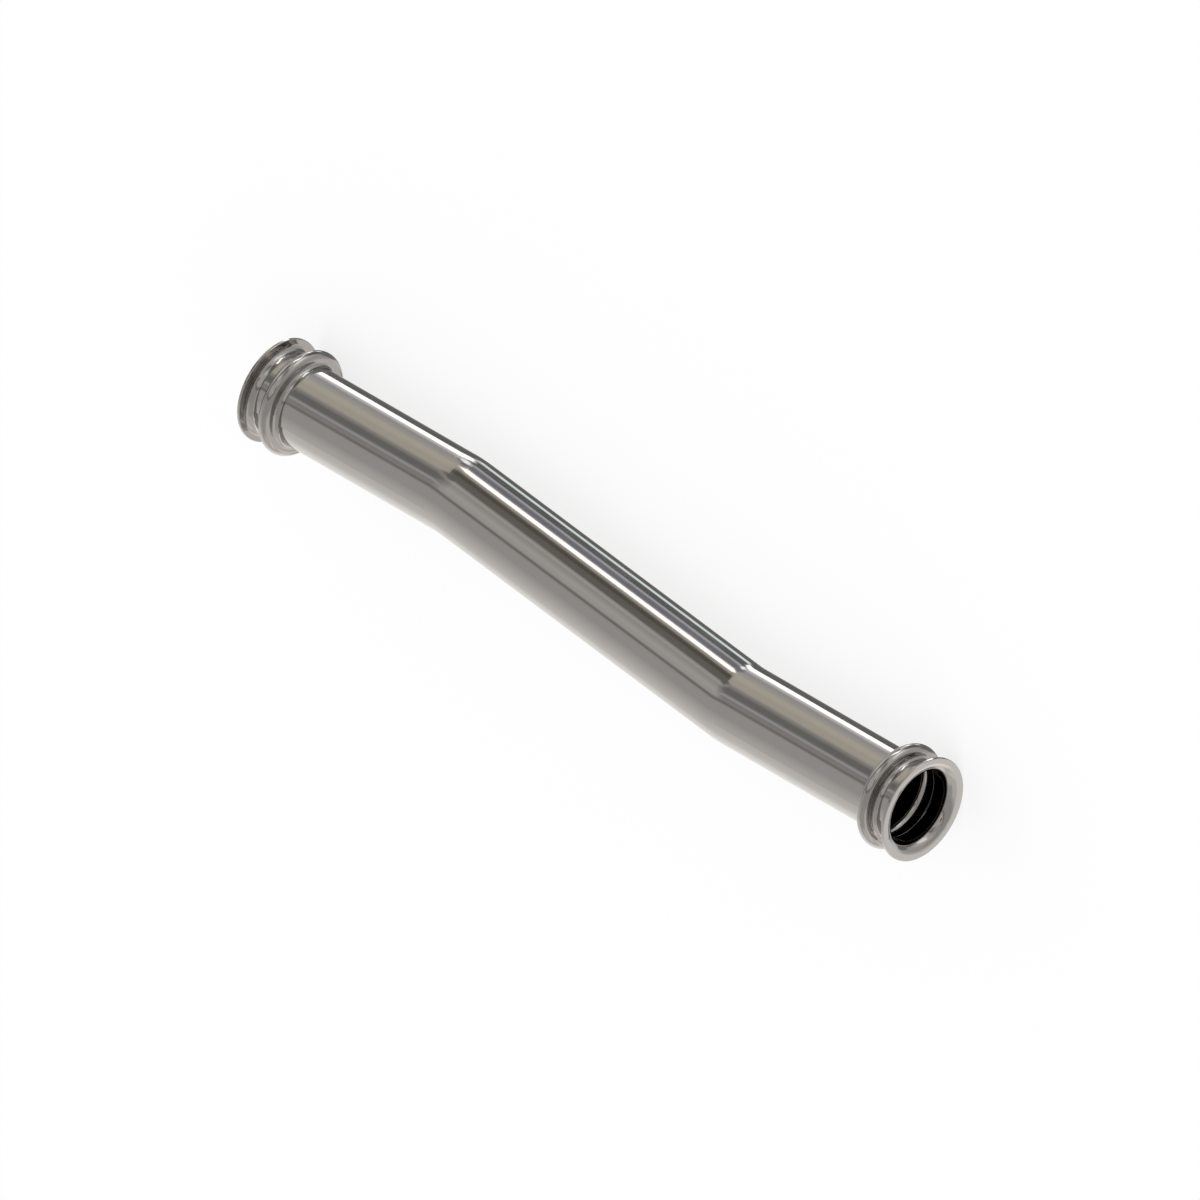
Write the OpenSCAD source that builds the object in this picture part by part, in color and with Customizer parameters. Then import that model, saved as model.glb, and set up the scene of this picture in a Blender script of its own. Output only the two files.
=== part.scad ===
// Formed steel oil filter tube, in millimetres.
// One thin-walled tube with two gentle bends in opposite directions. Each end is rolled out
// into a lip and a hollow bead, which hold a seal in the groove between them.
// It lies on its two beads: the bends are in the horizontal plane, +X runs along the
// straight ends, and the origin is under the middle of the tube, on the surface it lies on.

/* [Tube] */
// Outside diameter of the plain tube
tube_od = 31.75; // [20:0.25:60]
// Sheet thickness, the same in the tube, the lip and the bead
wall = 1.25; // [0.8:0.05:1.8]

/* [Route] */
// Straight length of each end, from the face of its lip to the start of its bend
end_straight = 92.6; // [40:0.2:300]
// Straight length of the middle, between the two bends
middle_straight = 140.4; // [40:0.2:400]
// Angle of each bend
bend_angle = 8.4; // [2:0.1:40]
// Radius of both bends, measured at the tube's centreline
bend_radius = 42; // [32:1:150]

/* [Formed ends] */
// Height that the lip stands above the tube
lip_height = 5; // [4.5:0.1:9]
// Height that the bead stands above the tube, a little more than the lip
bead_height = 5.3; // [4.5:0.1:9]
// Width of the seal groove, from the back of the lip to the side of the bead
groove_width = 8.6; // [7:0.1:25]
// Radius of the trumpet mouth, inside the lip
mouth_radius = 4.2; // [2.5:0.1:4.8]
// Radius that eases both corners of the lip's cut edge
edge_ease = 0.3; // [0.1:0.05:0.35]
// Outside radius of the bead's crest, in section
bead_crest_radius = 2.6; // [2:0.1:3.1]
// Radius of the fillets at both feet of the bead, on the outside
bead_foot_radius = 1.8; // [0.5:0.1:2.3]

/* [Finish] */
// Colour of the bare polished steel
steel_colour = [0.56, 0.54, 0.52];

/* [Hidden] */
$fn = 120;

tube_r = tube_od / 2;
bore_r = tube_r - wall;
lip_r = tube_r + lip_height;
bead_r = tube_r + bead_height;
axis_height = max(lip_r, bead_r);

// Places along an end, measured from the face of its lip
groove_end = wall + groove_width;
bead_middle = groove_end + bead_crest_radius;
bead_end = bead_middle + bead_crest_radius;

// Both bends turn by the same angle, so the planes that halve them are parallel. The tube is
// set out with those planes square to X, at this distance on either side of its middle.
half_angle = bend_angle / 2;
halving_x = middle_straight / 2 * cos(half_angle) + bend_radius * sin(half_angle);
longest = end_straight + middle_straight + bend_radius + tube_od;

// Quarter of a ring of sheet in section, about the point centre.
// side is [1, 1], [-1, 1], [-1, -1] or [1, -1], for the quarter that is kept.
module sheet_corner(centre, inner_r, side) {
    outer_r = inner_r + wall;
    translate(centre)
        intersection() {
            difference() {
                circle(r = outer_r);
                circle(r = inner_r);
            }
            translate([min(side[0], 0) * outer_r, min(side[1], 0) * outer_r])
                square(outer_r);
        }
}

// Flat flange of the lip, from the trumpet mouth out to the eased cut edge
module lip_section() {
    flange_start = bore_r + mouth_radius;
    ease_start = lip_r - edge_ease;
    translate([flange_start, 0])
        square([ease_start - flange_start, wall]);
    translate([ease_start, edge_ease])
        square([edge_ease, wall - 2 * edge_ease]);
    for (height = [edge_ease, wall - edge_ease])
        translate([ease_start, height])
            circle(r = edge_ease);
}

// Half of the bead's section, from its crest down one side to the tube.
// towards is -1 for the side that faces the groove and 1 for the side that faces the tube.
module bead_half_section(towards) {
    crest_r = bead_r - bead_crest_radius;
    foot_r = tube_r + bead_foot_radius;
    foot_middle = bead_middle + towards * (bead_crest_radius + bead_foot_radius);
    side_outside = towards * bead_crest_radius;
    side_inside = towards * (bead_crest_radius - wall);
    sheet_corner([crest_r, bead_middle], bead_crest_radius - wall, [1, towards]);
    translate([foot_r, bead_middle + min(side_outside, side_inside)])
        square([crest_r - foot_r, wall]);
    sheet_corner([foot_r, foot_middle], bead_foot_radius, [-1, -towards]);
}

// Section through the sheet along one end: x is the radius, y the distance from the lip's face
module end_section() {
    groove_floor_end = groove_end - bead_foot_radius;
    plain_start = bead_end + bead_foot_radius;
    lip_section();
    sheet_corner([bore_r + mouth_radius, mouth_radius], mouth_radius - wall, [-1, -1]);
    translate([bore_r, mouth_radius])
        square([wall, groove_floor_end - mouth_radius]);
    bead_half_section(-1);
    bead_half_section(1);
    translate([bore_r, plain_start])
        square([wall, end_straight - plain_start]);
}

// Cross-section of the plain tube
module tube_section() {
    difference() {
        circle(r = tube_r);
        circle(r = bore_r);
    }
}

// Turns its children onto the line of the middle, which slants across the halving planes
module on_middle_line() {
    rotate([0, 0, -half_angle])
        children();
}

// Straight middle, from one bend to the other
module middle() {
    on_middle_line()
        rotate([0, 90, 0])
            linear_extrude(height = middle_straight, center = true)
                tube_section();
}

// Half of the -X bend: from the end of the middle to the plane that halves the bend
module half_bend() {
    intersection() {
        on_middle_line()
            translate([-middle_straight / 2, -bend_radius, 0])
                rotate_extrude(angle = bend_angle, start = 90)
                    translate([bend_radius, 0])
                        tube_section();
        translate([-halving_x, -longest, -longest])
            cube(2 * longest);
    }
}

// Straight end with its lip, groove and bead, laid along the line of the middle
module formed_end() {
    on_middle_line()
        translate([end_straight - middle_straight / 2, 0, 0])
            rotate([0, -90, 0])
                rotate_extrude()
                    end_section();
}

// All that lies beyond the middle on the -X side. Past the halving plane the tube is the
// mirror image of a half bend and an end that lie on the line of the middle.
module bent_end() {
    half_bend();
    translate([-2 * halving_x, 0, 0])
        mirror([1, 0, 0]) {
            half_bend();
            formed_end();
        }
}

// The whole tube. Its two halves are alike, half a turn apart about the vertical, and the last
// turn lays its straight ends along X.
module oil_tube() {
    color(steel_colour)
        translate([0, 0, axis_height])
            rotate([0, 0, -half_angle]) {
                middle();
                for (turn = [0, 180])
                    rotate([0, 0, turn])
                        bent_end();
            }
}

oil_tube();
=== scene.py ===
"""Studio picture of a polished steel oil filter tube, lying on a pale floor.

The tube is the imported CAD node. This script gives it its steel, and adds the camera, the floor
and a studio of soft panels that the polished surface reflects. Lengths are in metres.
"""

import bpy
from mathutils import Matrix, Vector

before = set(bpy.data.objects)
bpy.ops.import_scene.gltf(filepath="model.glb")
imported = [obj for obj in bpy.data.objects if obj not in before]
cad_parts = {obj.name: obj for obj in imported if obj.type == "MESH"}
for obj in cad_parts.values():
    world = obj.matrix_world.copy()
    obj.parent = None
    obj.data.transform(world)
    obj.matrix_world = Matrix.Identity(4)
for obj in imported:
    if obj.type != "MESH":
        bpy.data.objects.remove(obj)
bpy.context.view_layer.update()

WHITE = (1.0, 1.0, 1.0)

# Camera: the photo is an isometric view, so its width is a plain length
VIEW_CENTRE = Vector((0.0, -0.00015, 0.0212))
VIEW_WIDTH = 0.4415
CAMERA_DISTANCE = 2.0
CAMERA_REACH = 20.0

# Floor, and the share of its light and shade that shows
FLOOR_SIZE = 12.0
FLOOR_SHADOW = 0.22

# The tube's centreline: its height, where the bends are and how far the ends are set off sideways
AXIS_HEIGHT = 0.021175
BEND_X = 0.0725
END_Y = 0.0107

# The line round which the hollow of a bead is bent, by distance from the tube's middle and radius
BEAD_X = 0.15573
BEAD_CREST_RADIUS = 0.018575

# Where one finish gives way to another, or to painted shade: where the change starts, then where
# it is complete.
# Formed ends and the two changes at the lip's face go by distance from the tube's middle.
FORMED_RAMP = (0.15, 0.153)
FACE_MARKS_RAMP = (0.167, 0.1676)
FACE_COLOUR_RAMP = (0.16793, 0.16808)
# The painted shade in the bore goes by radius, and that in the hollow of a bead by distance from
# the line it is bent round.
BORE_RAMP = (0.014745, 0.014665)
HOLLOW_RAMP = (0.00147, 0.00139)

# Steel: cloudy between light and dark and paler on the lip's face. The darkest colour is painted
# shade in the bore and in the hollows of the beads
STEEL_LIGHT = (0.43, 0.41, 0.395)
STEEL_DARK = (0.41, 0.39, 0.375)
STEEL_FACE = (0.53, 0.51, 0.49)
STEEL_PAINTED_SHADE = (0.08, 0.077, 0.074)
SMOOTH = 0.06
ROUGH = 0.11
CLOUD_RANGE = (0.3, 0.7)

# Depth of the marks and waves
DRAWN_DEPTH = 0.0000012
TURNED_DEPTH = 0.0000002
FACE_DEPTH = 0.000003
WAVE_DEPTH = 0.000008

# Noise: features in a metre, then levels of detail. The squeeze along the tube makes its draw
# marks fifty times as long as they are wide.
DRAWN_NOISE = (900.0, 3.0)
DRAWN_SQUEEZE = 0.02
TURNED_NOISE = (5000.0, 2.0)
CLOUD_NOISE = (90.0, 3.0)
WAVE_NOISE = (120.0, 1.0)

# Directions in the studio are the photo's own, in degrees: elevation above its level, and
# azimuth round its vertical, which is the row's +Y. Brightness is linear.
HALF_TURN = 180.0
STRAIGHT_DOWN = -90.0
WALL = (0.61, 0.603, 0.597)
FLOOR_EDGE = -8
FLOOR_EDGE_BLUR = 2
FLOOR_NEAR = (0.65, 0.64, 0.63)
FLOOR_FAR = (1.46, 1.44, 1.41)

# Panels, each laid over those before it: azimuth, elevation, softness of the edges, colour.
# A pair of softnesses is for the sides, then for the upper and lower edge.
PANELS = {
    "low_floor": ((150, 196), (-62, -50), 6, (1.22, 1.21, 1.19)),
    "front_floor": ((246, 402), (-90, -22), (16, 12), (0.88, 0.865, 0.835)),
    "shaded_floor": ((246, 325), (-52, -14), (26, 14), (0.60, 0.59, 0.58)),
    "shaded_corner": ((250, 280), (-66, -50), 12, (0.66, 0.65, 0.64)),
    "far_wall": ((256, 392), (-19, 24), (14, 18), (0.52, 0.52, 0.51)),
    "low_wall": ((20, 60), (-24, -8), 8, (0.66, 0.655, 0.65)),
    "left_wall": ((196, 225), (0, 26), 6, (0.44, 0.43, 0.42)),
    "right_wall": ((8, 75), (23, 90), 16, (0.76, 0.76, 0.75)),
    "upper_wall": ((210, 350), (25, 70), 6, (0.68, 0.67, 0.65)),
    "wall_patch": ((236, 262), (35, 43), 6, (0.74, 0.72, 0.70)),
    "pillar": ((330, 358), (26, 58), 10, (0.57, 0.565, 0.55)),
    "roof_window": ((236, 290), (60, 72), 8, (1.00, 0.98, 0.96)),
    "roof_gap": ((313, 356), (57, 84), 12, (0.31, 0.30, 0.29)),
    "pink_panel": ((294, 330), (31, 45), 8, (0.84, 0.77, 0.73)),
    "camera": ((309, 321), (30, 41), 4, (0.08, 0.08, 0.08)),
    "dark_rail": ((222, 350), (18.5, 25.3), 5, (0.32, 0.305, 0.29)),
    "left_corner": ((196, 233), (24.5, 53), (11, 6), (0.43, 0.42, 0.41)),
    "left_glint": ((222.5, 232), (33.5, 37.5), 3, (0.63, 0.65, 0.71)),
    "left_shadow": ((205, 223.5), (39, 49.5), (6, 4), (0.275, 0.28, 0.265)),
    "ceiling": ((148, 221), (61, 82), (10, 7), (0.17, 0.16, 0.135)),
    "ceiling_lamp": ((190, 222), (55, 78), (8, 6), (0.25, 0.237, 0.215)),
    "warm_panel": ((136, 196), (34, 61), (10, 6), (0.74, 0.71, 0.62)),
    "warm_middle": ((147, 168), (46, 57), 12, (0.82, 0.79, 0.69)),
    "plain_panel": ((135, 147), (34, 47), (8, 6), (0.67, 0.66, 0.645)),
    "back_light": ((166, 198), (22, 43), 7, (1.00, 1.00, 0.96)),
    "top_light": ((26, 76), (42, 65), 14, (1.42, 1.42, 1.40)),
    "floor_light": ((38, 58), (-54, -40), 6, (1.18, 1.15, 1.10)),
    "front_light": ((41, 57), (-39, -24), 6, (0.90, 0.88, 0.86)),
    "floor_patch": ((4, 22), (-64, -47), 8, (1.17, 1.13, 1.06)),
    "floor_shadow": ((62, 82), (-62, -30), 6, (0.28, 0.275, 0.27)),
    "floor_shine": ((58, 94), (-28, -16), 6, (0.95, 0.95, 0.95)),
    "dark_wall": ((78, 131), (-15, 47), 10, (0.205, 0.21, 0.213)),
    "dark_corner": ((98, 131), (-26, 0), 8, (0.20, 0.20, 0.195)),
    "dark_edge": ((91, 103), (-16, 13), 6, (0.36, 0.355, 0.35)),
    "dark_gap": ((66, 84), (-15, 7), 8, (0.28, 0.28, 0.275)),
    "grey_band": ((106, 137), (38, 53), 6, (0.325, 0.335, 0.38)),
    "violet_band": ((106, 128), (33.3, 39), 5, (0.76, 0.78, 0.86)),
    "strip_glow": ((138, 158), (59, 71), (20, 6), (0.70, 0.67, 0.60)),
    "strip_corner": ((107, 118), (46, 57), 5, (2.1, 2.1, 2.1)),
    "strip_light": ((94, 143.5), (55.9, 66), 3, (3.0, 3.0, 2.9)),
    "low_glow": ((123, 137), (15, 32), 6, (1.00, 1.01, 1.04)),
    "low_light": ((120.5, 131.5), (11.2, 24.3), (3, 4), (3.0, 3.0, 3.0)),
    "low_light_top": ((122.5, 129.5), (31, 40), 3, (2.0, 2.0, 2.1)),
    "cool_light": ((108, 120), (3.2, 13.2), 4, (1.42, 1.62, 1.64)),
}


def add_camera():
    """An orthographic camera on the photo's isometric line of sight."""
    towards_camera = Vector((1, 1, 1)).normalized()
    right = Vector((1, 0, -1)).normalized()
    up = towards_camera.cross(right)
    turn = Matrix((right, up, towards_camera)).transposed().to_4x4()
    data = bpy.data.cameras.new("photo_camera")
    data.type = "ORTHO"
    data.ortho_scale = VIEW_WIDTH
    data.clip_end = CAMERA_REACH
    camera = bpy.data.objects.new("photo_camera", data)
    camera.matrix_world = Matrix.Translation(VIEW_CENTRE + towards_camera * CAMERA_DISTANCE) @ turn
    bpy.context.scene.collection.objects.link(camera)
    bpy.context.scene.camera = camera


class Nodes:
    """A node tree with short calls for adding and joining its nodes.

    A value in these calls is a number, a colour or another node's output.
    """

    # The Mix node's colour sockets, which share their names with its number sockets
    MIX_FIRST = 6
    MIX_SECOND = 7
    MIX_RESULT = 2

    def __init__(self, tree):
        self.tree = tree
        self.tree.nodes.clear()

    def add(self, kind, inputs=(), **settings):
        node = self.tree.nodes.new(kind)
        for name, value in settings.items():
            setattr(node, name, value)
        for name, value in dict(inputs).items():
            self.put(node.inputs[name], value)
        return node

    def put(self, socket, value):
        if isinstance(value, bpy.types.NodeSocket):
            self.tree.links.new(value, socket)
        else:
            socket.default_value = value

    def math(self, operation, *values):
        node = self.add("ShaderNodeMath", operation=operation)
        for socket, value in zip(node.inputs, values):
            self.put(socket, value)
        return node.outputs[0]

    def vector(self, x=0.0, y=0.0, z=0.0):
        return self.add("ShaderNodeCombineXYZ", {"X": x, "Y": y, "Z": z}).outputs[0]

    def length(self, vector):
        node = self.add("ShaderNodeVectorMath", {0: vector}, operation="LENGTH")
        return node.outputs["Value"]

    def step(self, value, low, high, start=0.0, end=1.0, curve="SMOOTHSTEP"):
        """start below low, end above high, and a ramp between. low may also be the larger one."""
        node = self.add("ShaderNodeMapRange", interpolation_type=curve)
        for name, number in (
            ("Value", value),
            ("From Min", low),
            ("From Max", high),
            ("To Min", start),
            ("To Max", end),
        ):
            self.put(node.inputs[name], number)
        return node.outputs["Result"]

    def band(self, value, span, softness):
        """1 inside the span and 0 outside, with soft edges."""
        half = softness / 2
        rise = self.step(value, span[0] - half, span[0] + half)
        fall = self.step(value, span[1] + half, span[1] - half)
        return self.math("MULTIPLY", rise, fall)

    def turn_band(self, azimuth, span, softness):
        """As band, for an angle that goes round: it is measured from the middle of the span."""
        middle = (span[0] + span[1]) / 2
        half_span = (span[1] - span[0]) / 2
        turned = self.math("SUBTRACT", azimuth, middle)
        from_middle = self.math("WRAP", turned, HALF_TURN, -HALF_TURN)
        return self.band(from_middle, (-half_span, half_span), softness)

    def mix(self, share, first, second):
        """The first colour where share is 0, and the second where it is 1."""
        node = self.add("ShaderNodeMix", data_type="RGBA", clamp_factor=True)
        self.put(node.inputs["Factor"], share)
        self.put(node.inputs[self.MIX_FIRST], first)
        self.put(node.inputs[self.MIX_SECOND], second)
        return node.outputs[self.MIX_RESULT]

    def mix_shader(self, share, first, second):
        """As mix, for two shader nodes."""
        inputs = {"Fac": share, 1: first.outputs[0], 2: second.outputs[0]}
        return self.add("ShaderNodeMixShader", inputs).outputs[0]

    def noise(self, place, scale, detail):
        """Noise about 0.5, of this many features in a metre."""
        inputs = {"Vector": place, "Scale": scale, "Detail": detail}
        return self.add("ShaderNodeTexNoise", inputs).outputs["Fac"]


def opaque(colour):
    """The colour with the fourth number that a colour socket takes."""
    return (*colour, 1.0)


def light_studio():
    """A world of soft panels that only reflections show. All other rays find plain white."""
    world = bpy.data.worlds.new("studio")
    bpy.context.scene.world = world
    world.use_nodes = True
    nodes = Nodes(world.node_tree)
    towards = nodes.add("ShaderNodeTexCoord").outputs["Generated"]
    unit = nodes.add("ShaderNodeVectorMath", {0: towards}, operation="NORMALIZE").outputs[0]
    parts = nodes.add("ShaderNodeSeparateXYZ", {"Vector": unit}).outputs
    elevation = nodes.math("DEGREES", nodes.math("ARCSINE", parts["Y"]))
    backward = nodes.math("MULTIPLY", parts["Z"], -1.0)
    azimuth = nodes.math("DEGREES", nodes.math("ARCTAN2", backward, parts["X"]))

    depth = nodes.step(elevation, FLOOR_EDGE, STRAIGHT_DOWN, curve="LINEAR")
    floor = nodes.mix(depth, opaque(FLOOR_NEAR), opaque(FLOOR_FAR))
    below = nodes.step(elevation, FLOOR_EDGE + FLOOR_EDGE_BLUR, FLOOR_EDGE - FLOOR_EDGE_BLUR)
    colour = nodes.mix(below, opaque(WALL), floor)
    for azimuths, elevations, softness, panel in PANELS.values():
        if isinstance(softness, tuple):
            side_softness, edge_softness = softness
        else:
            side_softness = edge_softness = softness
        across = nodes.turn_band(azimuth, azimuths, side_softness)
        upwards = nodes.band(elevation, elevations, edge_softness)
        share = nodes.math("MULTIPLY", across, upwards)
        colour = nodes.mix(share, colour, opaque(panel))

    rays = nodes.add("ShaderNodeLightPath").outputs
    plain = nodes.add("ShaderNodeBackground", {"Color": opaque(WHITE)})
    panels = nodes.add("ShaderNodeBackground", {"Color": colour})
    shown = nodes.mix_shader(rays["Is Glossy Ray"], plain, panels)
    nodes.add("ShaderNodeOutputWorld", {"Surface": shown})
    world.cycles.sampling_method = "NONE"


def add_floor():
    """A white floor that keeps a faint shadow. The steel reflects the studio instead of it."""
    data = bpy.data.meshes.new("floor")
    half = FLOOR_SIZE / 2
    corners = [(-half, -half, 0), (half, -half, 0), (half, half, 0), (-half, half, 0)]
    data.from_pydata(corners, [], [(0, 1, 2, 3)])
    floor = bpy.data.objects.new("floor", data)
    bpy.context.scene.collection.objects.link(floor)
    floor.visible_glossy = False
    material = bpy.data.materials.new("floor")
    material.use_nodes = True
    nodes = Nodes(material.node_tree)
    lit = nodes.add("ShaderNodeBsdfDiffuse", {"Color": opaque(WHITE)})
    plain = nodes.add("ShaderNodeEmission", {"Color": opaque(WHITE), "Strength": 1.0})
    mixed = nodes.mix_shader(FLOOR_SHADOW, plain, lit)
    nodes.add("ShaderNodeOutputMaterial", {"Surface": mixed})
    data.materials.append(material)


def painted_shade_share(nodes, distance, radius):
    """Share of painted shade: 1 in the bore and in the hollow of a bead, 0 elsewhere."""
    in_bore = nodes.step(radius, *BORE_RAMP)
    past_bead = nodes.math("SUBTRACT", distance, BEAD_X)
    past_crest = nodes.math("MAXIMUM", nodes.math("SUBTRACT", radius, BEAD_CREST_RADIUS), 0.0)
    in_hollow = nodes.step(nodes.length(nodes.vector(past_bead, past_crest)), *HOLLOW_RAMP)
    return nodes.math("MAXIMUM", in_bore, in_hollow)


def make_steel():
    """Polished steel: faint draw marks run along the tube, and turned marks go round its ends."""
    material = bpy.data.materials.new("polished_steel")
    material.use_nodes = True
    nodes = Nodes(material.node_tree)
    place = nodes.add("ShaderNodeTexCoord").outputs["Object"]
    parts = nodes.add("ShaderNodeSeparateXYZ", {"Vector": place}).outputs
    along = parts["X"]
    distance = nodes.math("ABSOLUTE", along)
    centre_y = nodes.step(along, -BEND_X, BEND_X, END_Y, -END_Y, curve="LINEAR")
    sideways = nodes.math("SUBTRACT", parts["Y"], centre_y)
    upwards = nodes.math("SUBTRACT", parts["Z"], AXIS_HEIGHT)
    radius = nodes.length(nodes.vector(0.0, sideways, upwards))

    squeezed = nodes.math("MULTIPLY", along, DRAWN_SQUEEZE)
    drawn_place = nodes.vector(squeezed, sideways, upwards)
    drawn = nodes.noise(drawn_place, *DRAWN_NOISE)
    turned = nodes.noise(nodes.vector(along, radius), *TURNED_NOISE)
    formed = nodes.step(distance, *FORMED_RAMP)
    face = nodes.step(distance, *FACE_MARKS_RAMP)
    plain_share = nodes.math("SUBTRACT", 1.0, formed)
    drawn_height = nodes.math("MULTIPLY", drawn, nodes.math("MULTIPLY", plain_share, DRAWN_DEPTH))
    turned_depth = nodes.step(face, 0.0, 1.0, TURNED_DEPTH, FACE_DEPTH, curve="LINEAR")
    turned_height = nodes.math("MULTIPLY", turned, nodes.math("MULTIPLY", formed, turned_depth))
    marks = nodes.math("ADD", drawn_height, turned_height)
    wave = nodes.noise(drawn_place, *WAVE_NOISE)
    wavy = nodes.add("ShaderNodeBump", {"Strength": 1.0, "Distance": WAVE_DEPTH, "Height": wave})
    # The height of the marks is already in metres, so their distance is 1
    fine = nodes.add(
        "ShaderNodeBump",
        {"Strength": 1.0, "Distance": 1.0, "Height": marks, "Normal": wavy.outputs[0]},
    )

    cloud = nodes.noise(place, *CLOUD_NOISE)
    on_face = nodes.step(distance, *FACE_COLOUR_RAMP)
    polished = nodes.mix(cloud, opaque(STEEL_DARK), opaque(STEEL_LIGHT))
    outside = nodes.mix(on_face, polished, opaque(STEEL_FACE))
    # Painted shade: the bore and the hollows of the beads take a dark colour
    colour = nodes.mix(painted_shade_share(nodes, distance, radius), outside, opaque(STEEL_PAINTED_SHADE))
    roughness = nodes.step(cloud, *CLOUD_RANGE, SMOOTH, ROUGH, curve="LINEAR")
    shader = nodes.add(
        "ShaderNodeBsdfPrincipled",
        {
            "Base Color": colour,
            "Metallic": 1.0,
            "Roughness": roughness,
            "Normal": fine.outputs[0],
        },
    )
    nodes.add("ShaderNodeOutputMaterial", {"Surface": shader.outputs[0]})
    return material


bpy.context.scene.view_settings.view_transform = "Standard"
add_camera()
light_studio()
add_floor()

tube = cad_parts["oil_tube"]
tube.data.materials.clear()
tube.data.materials.append(make_steel())
